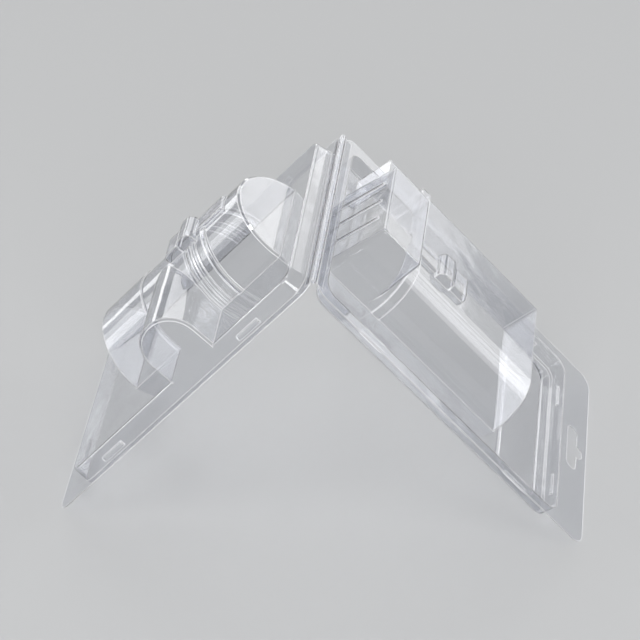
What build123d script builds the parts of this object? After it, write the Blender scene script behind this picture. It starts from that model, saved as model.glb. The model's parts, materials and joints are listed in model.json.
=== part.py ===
import os
from math import cos, radians, sin, tan

from build123d import *

# Sheet and pack
sheet = 0.5             # wall of the formed clear sheet
pack_w = 134.0          # along the hinge
pack_l = 198.0          # hinge axis to the end of the hang tab
half_angle = 41.2       # each half from the vertical as the pack stands open
part_gap = 0.2          # flange face to the parting plane
draft = 6.0             # slope of the formed walls, degrees
rim_break = 1.2         # broken edge round end walls and the plug floor
tab_corner_r = 8.0
hinge_corner_r = 7.0

# Female half: flange, raised tray and what stands on it
flange_w = 5.2
hinge_land = 6.4        # hinge axis to the tray wall
tab_l = 18.5            # tray end wall to the end of the tab
tray_h = 9.3
tray_corner_r = 9.0
tray_edge_r = 1.4
body_c = -3.2           # product axis across the pack, from its middle
body_r = 28.7
body_start = 19.0
body_end = 133.0
body_slope = 0.06       # lean of the body's two end walls
body_foot = 3.0         # how far the half rounds start below the tray top
step_rise = 0.8
head_end = 47.0         # end of the fuller length next to the hinge
ring_w = 3.0
ring_rise = 1.6
neck_at = (55.4, 59.0, 62.6)  # beads round the neck
neck_w = 1.9
neck_lap = 1.0          # the neck runs this far into the fuller lengths
foot_start = 98.5       # fuller length at the tab end
branch_u = 80.4         # middle of the arched branch
branch_w = 33.4
branch_r = 16.0
branch_top = 37.4

# Male half: plug that nests in the tray, and its cavity
nest_gap = 0.8          # plug wall to tray wall
floor_gap = 0.4         # plug floor to tray top
box_u = (11.5, 43.5)
box_c = (-31.0, 31.6)
box_top = 27.0
box_r = 5.2
box_edge_r = 1.4
box_draft = 4.8
cav_start = 21.5
cav_end = 138.0
cav_near = -30.6
cav_far_land = 10.8     # pack edge to the far wall of the cavity
cav_top = 14.8
cav_slope = 0.04        # lean of its far wall
far_edge_r = 2.2
cav_ring = (45.0, 50.5)
cav_ring_rise = 0.9
box_rib_c = (-13.0, 2.0, 17.0)
box_rib_r = 0.9
box_rib_len = 27.0
box_rib_mid = 17.0      # up from the plug floor
step_l = 28.0           # raised panel in the plug floor beside the tab
step_end_land = 10.5    # its end to the tray end wall
step_side_land = 14.0   # its sides to the pack edges
step_h = 1.3
step_r = 8.0

# Lever relief on both halves: bar, hub and tail as (length, width, rise, end round)
lever_bar = (22.0, 11.0, 2.2, 1.8)
lever_hub = (9.5, 17.0, 5.6, 3.6)
lever_tail = (10.5, 14.0, 4.0, 2.4)
lever_lap = 0.5         # each block runs this far into the next
lever_female = (32.5, 0.0)
lever_male = (40.0, 6.0)

# Snaps, hinge and hang hole
snap_len = 15.0
snap_r = 1.5
snap_bead_r = 0.9
snap_reach = 0.5        # bead beyond the plug wall
snap_hinge_land = 37.6  # middle of the first snap from the tray wall
snap_tab_land = 29.5    # middle of the last snap from the tray end wall
snap_end_land = 31.0    # middle of the end wall's snaps from the pack edges
snap_height = 3.4
rod_r = 1.5             # bead along the living hinge
rod_end = 3.5           # bead end to the pack edge
rod_gap = 0.35          # bead to the edge of the male flange
rod_root = 0.9          # where the female flange runs into the bead
hole_w = 32.0           # euro hang hole
hole_slot = 7.4
hole_land = 11.4        # slot middle to the end of the tab
crown_r = 4.6
crown_rise = 3.4        # crown middle beyond the slot middle

tray_end = pack_l - tab_l
hole_u = pack_l - hole_land
rod_len = pack_w - 2 * rod_end
cav_far = pack_w / 2 - cav_far_land
step_end = tray_end - step_end_land
step_c = pack_w / 2 - step_side_land
snap_u = (hinge_land + snap_hinge_land, tray_end - snap_tab_land)
snap_end_c = pack_w / 2 - snap_end_land
plug_d = tray_h - sheet + 2 * part_gap - floor_gap
apex = pack_l * cos(radians(half_angle)) - part_gap * sin(radians(half_angle))
slope = tan(radians(draft))
over = 8.0              # how far helping shapes run past what they join or cut
open_side = 1.0         # how far an inside form runs past its open side
tray_c = pack_w / 2 - flange_w
body_top = tray_h + body_r
body_side = -body_c


def drop(inset):
    # Only an inside form runs past its open side, so that it cuts clean through.
    return open_side if inset else 0


def block(u, c, low, high, corner, taper=0, edge_r=0):
    # Block on a rounded rectangle, drawn at its low end.
    with BuildPart() as raised:
        with BuildSketch(Plane.XY.offset(low)):
            with Locations(((u[0] + u[1]) / 2, (c[0] + c[1]) / 2)):
                RectangleRounded(u[1] - u[0], c[1] - c[0], corner)
        extrude(amount=high - low, taper=taper)
        if edge_r:
            fillet(raised.faces().sort_by(Axis.Z)[-1].edges(), edge_r)
    return raised.part


def half_round(u, r):
    # Round-backed length of the body, with straight sides down into the tray.
    foot = tray_h - body_foot
    near, far = body_side + r, body_side - r
    with BuildPart() as length:
        with BuildSketch(Plane.YZ.offset(u[0])):
            with BuildLine():
                Polyline((far, tray_h), (far, foot), (near, foot), (near, tray_h))
                ThreePointArc((near, tray_h), (body_side, tray_h + r), (far, tray_h))
            make_face()
        extrude(amount=u[1] - u[0])
    return length.part


def capped(end, stop, r, inset):
    # Half round with a cap at end that leans inward, broken over all but its foot.
    way = 1 if stop > end else -1
    foot = tray_h - body_foot
    reach = r + over
    length = half_round((end - way * over, stop), r)
    with BuildPart() as closed:
        add(length)
        with BuildSketch(Plane.XZ):
            with BuildLine():
                Polyline(
                    (end - way * body_foot * body_slope, foot),
                    (end + way * reach * body_slope, tray_h + reach),
                    (end - way * 2 * over, tray_h + reach), (end - way * 2 * over, foot), close=True,
                )
            make_face()
        extrude(amount=pack_w, both=True, mode=Mode.SUBTRACT)
        cap = closed.faces().sort_by(Axis.X)[0 if way > 0 else -1]
        chamfer(cap.edges().sort_by(Axis.Z)[1:], rim_break - inset / 2)
    return closed.part


def lever(start, c, base, inset):
    # Bar, hub and tail in a row, each rounded over at both ends.
    lugs = []
    u = start
    seat = base - over
    for length, width, rise, end_r in (lever_bar, lever_hub, lever_tail):
        with BuildPart() as lug:
            with BuildSketch(Plane.XY.offset(seat)):
                with Locations((u + length / 2, c)):
                    Rectangle(length + 2 * (lever_lap - inset), width - 2 * inset)
            extrude(amount=base + rise - inset - seat)
            fillet(lug.edges().filter_by(Axis.Y).group_by(Axis.Z)[-1], end_r - inset)
        lugs.append(lug.part)
        u += length
    return lugs


def snaps(c, u_end, depth, r, mode=Mode.ADD):
    # Round beads along both long walls and the end wall.
    for u in snap_u:
        for side in (-1, 1):
            with Locations(Location((u, side * c, depth), (0, 90, 0))):
                Cylinder(r, snap_len, mode=mode)
    for c_end in (-snap_end_c, snap_end_c):
        with Locations(Location((u_end, c_end, depth), (90, 0, 0))):
            Cylinder(r, snap_len, mode=mode)


def female_form(inset):
    # Solid enclosed by the female half: its outside face, or its inside at one sheet.
    below = drop(inset)
    grow = below * slope - inset
    tray = block(
        (hinge_land - grow, tray_end + grow), (-tray_c - grow, tray_c + grow),
        -below, tray_h - inset, tray_corner_r + grow, draft, tray_edge_r - inset,
    )
    fuller = body_r + step_rise - inset
    lengths = [
        half_round((head_end - neck_lap, foot_start + neck_lap), body_r - inset),
        half_round((head_end - inset, head_end + ring_w - inset), body_r + ring_rise - inset),
        capped(body_start + inset, head_end - inset, fuller, inset),
        capped(body_end - inset, foot_start + inset, fuller, inset),
    ]
    beads = [] if inset else [half_round((at, at + neck_w), fuller) for at in neck_at]
    with BuildPart() as branch:
        with BuildSketch(Plane.YZ.offset(branch_u - branch_w / 2 + inset)):
            near = tray_c - inset
            with BuildLine():
                Polyline(
                    (near + below * slope, -below),
                    (near - slope * (branch_top - inset), branch_top - inset),
                    (body_side, branch_top - inset), (body_side, -below), close=True,
                )
            make_face()
        extrude(amount=branch_w - 2 * inset)
        arch = branch.edges().filter_by(Axis.Y).group_by(Axis.Z)[-1]
        fillet(arch, branch_r - inset)
        mouth = branch.faces().sort_by(Axis.Y)[-1]
        chamfer(mouth.edges().sort_by(Axis.Z)[1:], rim_break - inset / 2)
    lugs = lever(lever_female[0], body_side + lever_female[1], body_top, inset)
    with BuildPart() as whole:
        add(tray)
        add([*lengths, *beads])
        add(branch.part)
        add(lugs)
    return whole.part


def male_plug(inset):
    # Plug below the flange: the face toward the product, or its other side at one sheet.
    shrink = sheet + nest_gap + inset
    with BuildPart() as plug:
        with BuildSketch() as mouth:
            with Locations(((hinge_land + tray_end) / 2, 0)):
                RectangleRounded(
                    tray_end - hinge_land - 2 * shrink, 2 * (tray_c - shrink), tray_corner_r - shrink
                )
        extrude(mouth.sketch, amount=-(plug_d - inset), taper=draft)
        extrude(mouth.sketch, amount=sheet + drop(inset))
        chamfer(plug.faces().sort_by(Axis.Z)[0].edges(), rim_break - inset / 2)
    return plug.part


def cavity_profile(u, inset, foot, rise):
    # Round near side, flat back and a drafted far wall.
    r = cav_top + plug_d + rise - inset
    mid = cav_near - rise + inset + r
    top = cav_top + rise - inset
    base = -plug_d
    far = cav_far + rise - inset
    below = [(far, foot), (mid - r, foot)] if foot < base else []
    with BuildSketch(Plane.YZ.offset(u)) as section:
        with BuildLine():
            Polyline(
                (mid, top), (far - (top - base) * cav_slope, top), (far, base), *below, (mid - r, base)
            )
            ThreePointArc(
                (mid - r, base), (mid - r * cos(radians(45)), base + r * sin(radians(45))), (mid, top)
            )
        make_face()
    return section.sketch


def male_form(inset):
    # Cavity standing on the plug floor: its outside face, or its inside at one sheet.
    foot = -plug_d - drop(inset)
    grow = (-plug_d - foot) * tan(radians(box_draft)) - inset
    box = block(
        (box_u[0] - grow, box_u[1] + grow), (box_c[0] - grow, box_c[1] + grow),
        foot, box_top - inset, box_r + grow, box_draft, box_edge_r - inset,
    )
    panel = block(
        (step_end - step_l + inset, step_end - inset), (inset - step_c, step_c - inset),
        foot, sheet + step_h - plug_d - inset, step_r - inset,
    )
    with BuildPart() as cavity:
        extrude(
            cavity_profile(cav_start + inset, inset, foot, 0),
            amount=cav_end - cav_start - 2 * inset,
        )
        far_edge = cavity.edges().filter_by(Axis.X).sort_by(lambda e: e.center().Y + e.center().Z)[-1]
        fillet(far_edge, far_edge_r - inset)
        end_wall = cavity.faces().sort_by(Axis.X)[-1]
        chamfer(end_wall.edges().sort_by(Axis.Z)[1:], rim_break - inset / 2)
        extrude(
            cavity_profile(cav_ring[0] + inset, inset, foot, cav_ring_rise),
            amount=cav_ring[1] - cav_ring[0] - 2 * inset,
        )
    with BuildPart() as ribs:
        for c in box_rib_c:
            lean = Location((box_u[0], c, -plug_d), (0, box_draft, 0))
            with Locations(lean * Location((inset, 0, box_rib_mid))):
                Cylinder(box_rib_r - inset / 2, box_rib_len)
    lugs = lever(lever_male[0], lever_male[1], cav_top, inset)
    with BuildPart() as form:
        add([cavity.part, box, panel, ribs.part])
        add(lugs)
    return form.part


def flange(rod_side):
    # Flat sheet round the half: hinge corners, tab corners and the hang hole.
    with BuildPart() as plate:
        with BuildSketch():
            with Locations(((rod_side + pack_l) / 2, 0)):
                Rectangle(pack_l - rod_side, pack_w)
            fillet(vertices().group_by(Axis.X)[-1], tab_corner_r)
            fillet(vertices().group_by(Axis.X)[0], hinge_corner_r)
        extrude(amount=sheet)
        with BuildSketch() as hole:
            with Locations((hole_u, 0)):
                SlotOverall(hole_w, hole_slot, rotation=90)
            with Locations((hole_u + crown_rise, 0)):
                Circle(crown_r)
        extrude(amount=sheet, mode=Mode.SUBTRACT)
    return plate.part


def stand(x_dir, z_dir):
    # Frame of one half in the standing pack: hinge at the apex, panel running down.
    lift = Vector(z_dir) * part_gap
    return Plane(origin=Vector(0, 0, apex) + lift, x_dir=x_dir, z_dir=z_dir).location


lean_s, lean_c = sin(radians(half_angle)), cos(radians(half_angle))

female_flange, female_out, female_in = flange(rod_root), female_form(0), female_form(sheet)
with BuildPart() as female:
    add(female_flange)
    add(female_out)
    snap_in = snap_height * slope
    snaps(tray_c - snap_in, tray_end - snap_in, snap_height, snap_r)
    add(female_in, mode=Mode.SUBTRACT)
    snap_in += sheet
    snaps(tray_c - snap_in, tray_end - snap_in, snap_height, snap_r - sheet / 2, Mode.SUBTRACT)
    with Locations(Location((0, 0, -part_gap), (90, 0, 0))):
        Cylinder(rod_r, rod_len)
        Cylinder(rod_r - sheet, rod_len, mode=Mode.SUBTRACT)

male_flange, plug_out, plug_in = flange(rod_r + rod_gap), male_plug(0), male_plug(sheet)
male_out, male_in = male_form(0), male_form(sheet)
with BuildPart() as male:
    add(male_flange)
    add(plug_out)
    add(plug_in, mode=Mode.SUBTRACT)
    add(male_out)
    add(male_in, mode=Mode.SUBTRACT)
    bead_in = nest_gap + snap_in + snap_bead_r - snap_reach
    snaps(tray_c - bead_in, tray_end - bead_in, -snap_height, snap_bead_r)

os.makedirs("parts", exist_ok=True)

with BuildPart() as female_shell:
    with Locations(stand((-lean_s, 0, -lean_c), (-lean_c, 0, lean_s))):
        add(female.part)
female_shell.part.label = "female_shell"
export_step(female_shell.part, "parts/female_shell.step")

with BuildPart() as male_shell:
    with Locations(stand((lean_s, 0, -lean_c), (lean_c, 0, lean_s))):
        add(male.part)
male_shell.part.label = "male_shell"
export_step(male_shell.part, "parts/male_shell.step")
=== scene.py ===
import json
import math

import bpy
from mathutils import Matrix, Vector


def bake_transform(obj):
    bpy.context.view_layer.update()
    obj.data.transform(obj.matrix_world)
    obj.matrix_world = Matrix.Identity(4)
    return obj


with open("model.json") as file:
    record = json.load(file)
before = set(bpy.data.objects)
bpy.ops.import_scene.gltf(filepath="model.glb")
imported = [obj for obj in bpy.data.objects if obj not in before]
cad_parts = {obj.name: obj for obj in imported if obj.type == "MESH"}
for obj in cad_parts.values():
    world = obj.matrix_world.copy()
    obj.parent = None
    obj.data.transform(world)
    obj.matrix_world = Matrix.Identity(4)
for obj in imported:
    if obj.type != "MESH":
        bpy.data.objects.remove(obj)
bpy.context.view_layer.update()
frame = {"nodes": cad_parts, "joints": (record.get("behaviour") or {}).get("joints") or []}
scene = bpy.context.scene
scene.view_settings.view_transform = "Standard"
# a ray crosses many walls of clear sheet before it meets the floor
wallBounces = 32
scene.cycles.max_bounces = wallBounces
scene.cycles.transmission_bounces = wallBounces
scene.cycles.transparent_max_bounces = wallBounces
print("stage: frame loaded")


def hexColour(code):
    # sRGB hex to the linear colour the sockets take
    parts = [int(code[i:i + 2], 16) / 255 for i in (1, 3, 5)]
    linear = [c / 12.92 if c <= 0.04045 else ((c + 0.055) / 1.055) ** 2.4 for c in parts]
    return (*linear, 1.0)


def addNode(tree, kind, settings=None, links=None):
    # a setting is a property of the node or else the value of a socket
    node = tree.nodes.new(kind)
    for key, value in (settings or {}).items():
        if isinstance(key, str) and hasattr(node, key):
            setattr(node, key, value)
        else:
            node.inputs[key].default_value = value
    for key, source in (links or {}).items():
        tree.links.new(source, node.inputs[key])
    return node


def newMaterial(name):
    material = bpy.data.materials.new(name)
    material.use_nodes = True
    material.node_tree.nodes.clear()
    return material, material.node_tree


# Camera: long lens, above the hinge and a little to the right
cameraSetup = {
    "azimuth": 7.328,                  # degrees
    "elevation": 36.171,
    "roll": -1.088,
    "target": (-0.00534, 0.0, 0.0805),  # m
    "distance": 1.2429,
    "clipEnd": 20.0,
    "lens": 139.72,                    # mm
    "sensor": 36.0,
}


def placeCamera(setup):
    az, el, roll = (math.radians(setup[k]) for k in ("azimuth", "elevation", "roll"))
    back = Vector((
        math.sin(az) * math.cos(el),
        -math.cos(az) * math.cos(el),
        math.sin(el),
    ))
    level = Vector((math.cos(az), math.sin(az), 0))
    rise = back.cross(level)
    right = level * math.cos(roll) + rise * math.sin(roll)
    up = rise * math.cos(roll) - level * math.sin(roll)
    bpy.ops.object.camera_add()
    camera = bpy.context.object
    camera.data.lens = setup["lens"]
    camera.data.sensor_width = setup["sensor"]
    camera.data.sensor_fit = "HORIZONTAL"
    camera.data.clip_end = setup["clipEnd"]
    spot = Vector(setup["target"]) + back * setup["distance"]
    turn = Matrix((right, up, back)).transposed().to_4x4()
    camera.matrix_world = Matrix.Translation(spot) @ turn
    scene.camera = camera


placeCamera(cameraSetup)
print("stage: camera")

# Clear PET, thermoformed: glassy faces with a faint draw wave and fine scuffs. Along every
# fold and cut edge the colour is painted near-white, less clear and rougher. This is a
# painted highlight standing in for the glints that bends catch from the lamps, and in part
# the real frosted white of a trimmed edge.
clearSheet = {
    "tint": "#E8E9EC",
    "shadowTint": "#E6E6E7",
    "ior": 1.57,
    "roughness": (0.03, 0.1),   # clean sheet, scuffed sheet
    "waveSize": 16.0,           # mm from crest to crest
    "waveHeight": 2.0,          # mm at full strength
    "waveDepth": 0.05,          # the strength
    "waveDetail": 1.5,
    "waveGrain": 0.4,
    "scuffSize": 2.2,           # mm, coarser than real scuffs, which would not show
    "scuffDetail": 3.0,
    "scuffGrain": 0.6,
    "scuffSpan": (0.42, 0.72),  # noise where a scuff starts and where it is full
    # edge keys: the painted highlight along folds and cut edges, with its colour, reach and
    # share
    "edgeGlintTone": "#FAFAFC",
    "edgeReach": 0.48,          # mm of whitening beside a bend
    "edgeSamples": 4,
    "edgeSpan": (0.999, 0.95),  # cosine of the turn where white starts and where it is full
    "edgeGlintShare": 0.95,
    "edgeRoughness": 0.45,
}


def sheetMaterial(setup):
    material, tree = newMaterial("clearPetSheet")
    place = addNode(tree, "ShaderNodeTexCoord")
    wave = addNode(
        tree, "ShaderNodeTexNoise",
        {
            "Scale": 1000 / setup["waveSize"],
            "Detail": setup["waveDetail"],
            "Roughness": setup["waveGrain"],
        },
        {"Vector": place.outputs["Object"]},
    )
    bump = addNode(
        tree, "ShaderNodeBump",
        {"Strength": setup["waveDepth"], "Distance": setup["waveHeight"] / 1000},
        {"Height": wave.outputs["Fac"]},
    )
    scuff = addNode(
        tree, "ShaderNodeTexNoise",
        {
            "Scale": 1000 / setup["scuffSize"],
            "Detail": setup["scuffDetail"],
            "Roughness": setup["scuffGrain"],
        },
        {"Vector": place.outputs["Object"]},
    )
    scuffStart, scuffFull = setup["scuffSpan"]
    clean, scuffed = setup["roughness"]
    dull = addNode(
        tree, "ShaderNodeMapRange",
        {"From Min": scuffStart, "From Max": scuffFull, "To Min": clean, "To Max": scuffed},
        {"Value": scuff.outputs["Fac"]},
    )
    # the bevel's normal leaves the face's own near a fold or a cut
    bend = addNode(
        tree, "ShaderNodeBevel",
        {"samples": setup["edgeSamples"], "Radius": setup["edgeReach"] / 1000},
    )
    face = addNode(tree, "ShaderNodeNewGeometry")
    turn = addNode(
        tree, "ShaderNodeVectorMath", {"operation": "DOT_PRODUCT"},
        {0: bend.outputs["Normal"], 1: face.outputs["Normal"]},
    )
    whiteStart, whiteFull = setup["edgeSpan"]
    # painted highlight: this mask lays near-white colour and less transmission along each
    # fold and cut, where the glints would be
    paintedGlint = addNode(
        tree, "ShaderNodeMapRange",
        {
            "From Min": whiteStart, "From Max": whiteFull,
            "To Min": 0.0, "To Max": setup["edgeGlintShare"],
        },
        {"Value": turn.outputs["Value"]},
    )
    clear = addNode(
        tree, "ShaderNodeMapRange",
        {
            "From Min": whiteStart, "From Max": whiteFull,
            "To Min": 1.0, "To Max": 1.0 - setup["edgeGlintShare"],
        },
        {"Value": turn.outputs["Value"]},
    )
    # a mix node's sockets 6 and 7 are its two colours, 2 and 3 its two plain values
    # the sheet's tint, painted near-white as a highlight along folds and cut edges
    tone = addNode(
        tree, "ShaderNodeMix",
        {
            "data_type": "RGBA",
            6: hexColour(setup["tint"]),
            7: hexColour(setup["edgeGlintTone"]),
        },
        {0: paintedGlint.outputs["Result"]},
    )
    gloss = addNode(
        tree, "ShaderNodeMix", {3: setup["edgeRoughness"]},
        {0: paintedGlint.outputs["Result"], 2: dull.outputs["Result"]},
    )
    pet = addNode(
        tree, "ShaderNodeBsdfPrincipled", {"IOR": setup["ior"]},
        {
            "Base Color": tone.outputs[2],
            "Roughness": gloss.outputs[0],
            "Transmission Weight": clear.outputs["Result"],
            "Normal": bump.outputs["Normal"],
        },
    )
    # lamps shine through the sheet, so its shadow is a pale one
    through = addNode(
        tree, "ShaderNodeBsdfTransparent", {"Color": hexColour(setup["shadowTint"])},
    )
    path = addNode(tree, "ShaderNodeLightPath")
    sheet = addNode(
        tree, "ShaderNodeMixShader", None,
        {
            0: path.outputs["Is Shadow Ray"],
            1: pet.outputs["BSDF"],
            2: through.outputs["BSDF"],
        },
    )
    addNode(tree, "ShaderNodeOutputMaterial", None, {"Surface": sheet.outputs["Shader"]})
    return material


sheetLook = sheetMaterial(clearSheet)
for name in ("female_shell", "male_shell"):
    shell = frame["nodes"][name]
    shell.data.materials.clear()
    shell.data.materials.append(sheetLook)
print("stage: shells dressed")

# Living hinge: the thin web of sheet that runs from one flange over the bead to the other
hingeWeb = {
    "length": 126.0,       # mm along the hinge
    "lands": (5.4, 2.6),   # mm down the flange, from where to where it lies on it
    "clear": 0.8,          # mm out from the hinge line's plane
    "crest": (1.0, 1.4),   # mm down the flange and out from it, where the bend starts
    "wall": 0.14,          # mm
    "lean": 41.2,          # degrees of each flange from the vertical
    "bendSteps": 16,
    "weld": 0.01,          # mm between points that become one
    "smoothAngle": 40.0,   # degrees
}


def buildHingeWeb(setup):
    axis = Vector(frame["joints"][0]["pos_m"])
    lean = math.radians(setup["lean"])
    outer, inner = setup["lands"]
    crestDown, crestOut = setup["crest"]

    def onFlange(side, down, out):
        # side -1 is the female half and 1 the male one
        along = Vector((side * math.sin(lean), 0, -math.cos(lean))) * down
        proud = Vector((side * math.cos(lean), 0, math.sin(lean))) * out
        return axis + (along + proud) / 1000

    section = [(outer, setup["clear"]), (inner, setup["clear"]), setup["crest"]]
    landEnd, landTop, bendStart = [onFlange(-1, *spot) for spot in section]
    farEnd, farTop, bendStop = [onFlange(1, *spot) for spot in section]

    # the female land is a plane, and the rest of the web is drawn out of its top edge
    bpy.ops.object.select_all(action="DESELECT")
    bpy.ops.mesh.primitive_plane_add(size=1, location=(landTop + landEnd) / 2)
    web = bpy.context.object
    web.name = "hingeWeb"
    web.scale = ((outer - inner) / 1000, setup["length"] / 1000, 1)
    web.rotation_euler = (0, lean - math.pi / 2, 0)
    bpy.ops.object.transform_apply(location=True, rotation=True, scale=True)

    def height(edge):
        return sum(web.data.vertices[i].co.z for i in edge.vertices)

    bpy.context.tool_settings.mesh_select_mode = (False, True, False)
    bpy.ops.object.mode_set(mode="EDIT")
    bpy.ops.mesh.select_all(action="DESELECT")
    bpy.ops.object.mode_set(mode="OBJECT")
    max(web.data.edges, key=height).select = True
    bpy.ops.object.mode_set(mode="EDIT")

    def carryOn(start, stop):
        bpy.ops.mesh.extrude_region_move(TRANSFORM_OT_translate={"value": stop - start})

    carryOn(landTop, bendStart)
    turn = math.pi - 2 * lean + 2 * math.atan2(crestDown, crestOut)
    bpy.ops.mesh.spin(steps=setup["bendSteps"], angle=turn, center=axis, axis=(0, 1, 0))
    carryOn(bendStop, farTop)
    carryOn(farTop, farEnd)
    bpy.ops.mesh.select_all(action="SELECT")
    bpy.ops.mesh.remove_doubles(threshold=setup["weld"] / 1000)
    bpy.ops.mesh.normals_make_consistent(inside=False)
    bpy.ops.object.mode_set(mode="OBJECT")

    thick = web.modifiers.new("wall", "SOLIDIFY")
    thick.thickness = setup["wall"] / 1000
    thick.offset = 0
    bpy.ops.object.modifier_apply(modifier=thick.name)
    bpy.ops.object.shade_smooth_by_angle(angle=math.radians(setup["smoothAngle"]))
    web.data.materials.append(sheetLook)
    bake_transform(web)
    print("stage: hinge web", [round(v * 1000, 2) for v in web.dimensions])


buildHingeWeb(hingeWeb)

# Floor and light. The floor is matt emulsion paint: an even pale ground that takes the
# sheet's soft shadow and hardly mirrors it
stageSetup = {
    "floorSize": 12.0,             # m
    "floorColour": "#BCBDBE",
    "floorRoughness": 0.7,
    "worldColour": "#FFFFFF",
    "worldStrength": (0.48, 0.5),  # at the horizon, overhead
    "lampAim": (0, 0, 0.07),       # m, inside the tent
}
lampSetup = [
    # name, place in m, size in m, power in W
    ("overhead", (-0.15, -0.35, 1.5), (0.4, 0.4), 5.0),
    ("frontBox", (0.2, -2.4, 1.2), (2.2, 1.0), 38.0),
    ("leftBox", (-3.38, -0.12, 0.7), (2.25, 1.25), 12.5),
    ("leftCore", (-3.3, -0.12, 0.67), (0.88, 0.75), 4.4),
    ("rightBox", (3.38, 0.75, 1.02), (2.4, 1.5), 15.6),
    ("rightCore", (3.3, 0.73, 1.0), (1.0, 0.88), 4.2),
    ("backBox", (-0.6, 3.0, 1.93), (2.6, 1.2), 22.0),
    ("backRightPanel", (1.9, 2.6, 0.43), (3.8, 2.0), 30.0),
    ("backRightHigh", (1.86, 2.54, 0.77), (2.2, 0.6), 5.0),
    ("backLeftStrip", (-1.2, 1.64, 0.1), (2.0, 0.4), 6.2),
]


def buildFloor(setup):
    bpy.ops.mesh.primitive_plane_add(size=setup["floorSize"])
    floor = bpy.context.object
    floor.name = "paleFloor"
    material, tree = newMaterial("paleFloorPaint")
    paint = addNode(
        tree, "ShaderNodeBsdfPrincipled",
        {
            "Base Color": hexColour(setup["floorColour"]),
            "Roughness": setup["floorRoughness"],
        },
    )
    addNode(tree, "ShaderNodeOutputMaterial", None, {"Surface": paint.outputs["BSDF"]})
    floor.data.materials.append(material)


def buildWorld(setup):
    world = bpy.data.worlds.new("softRoom")
    scene.world = world
    world.use_nodes = True
    tree = world.node_tree
    tree.nodes.clear()
    place = addNode(tree, "ShaderNodeTexCoord")
    axes = addNode(
        tree, "ShaderNodeSeparateXYZ", None, {"Vector": place.outputs["Generated"]},
    )
    horizon, overhead = setup["worldStrength"]
    fade = addNode(
        tree, "ShaderNodeMapRange",
        {"From Min": 0.0, "From Max": 1.0, "To Min": horizon, "To Max": overhead},
        {"Value": axes.outputs["Z"]},
    )
    sky = addNode(
        tree, "ShaderNodeBackground",
        {"Color": hexColour(setup["worldColour"])},
        {"Strength": fade.outputs["Result"]},
    )
    addNode(tree, "ShaderNodeOutputWorld", None, {"Surface": sky.outputs["Background"]})


def addLamps(lamps, target):
    for name, place, size, power in lamps:
        bpy.ops.object.light_add(type="AREA", location=place)
        lamp = bpy.context.object
        lamp.name = name
        lamp.data.shape = "RECTANGLE"
        lamp.data.size, lamp.data.size_y = size
        lamp.data.energy = power
        aim = Vector(target) - Vector(place)
        lamp.rotation_euler = aim.to_track_quat("-Z", "Y").to_euler()


buildFloor(stageSetup)
buildWorld(stageSetup)
addLamps(lampSetup, stageSetup["lampAim"])
print("stage: floor and lamps")
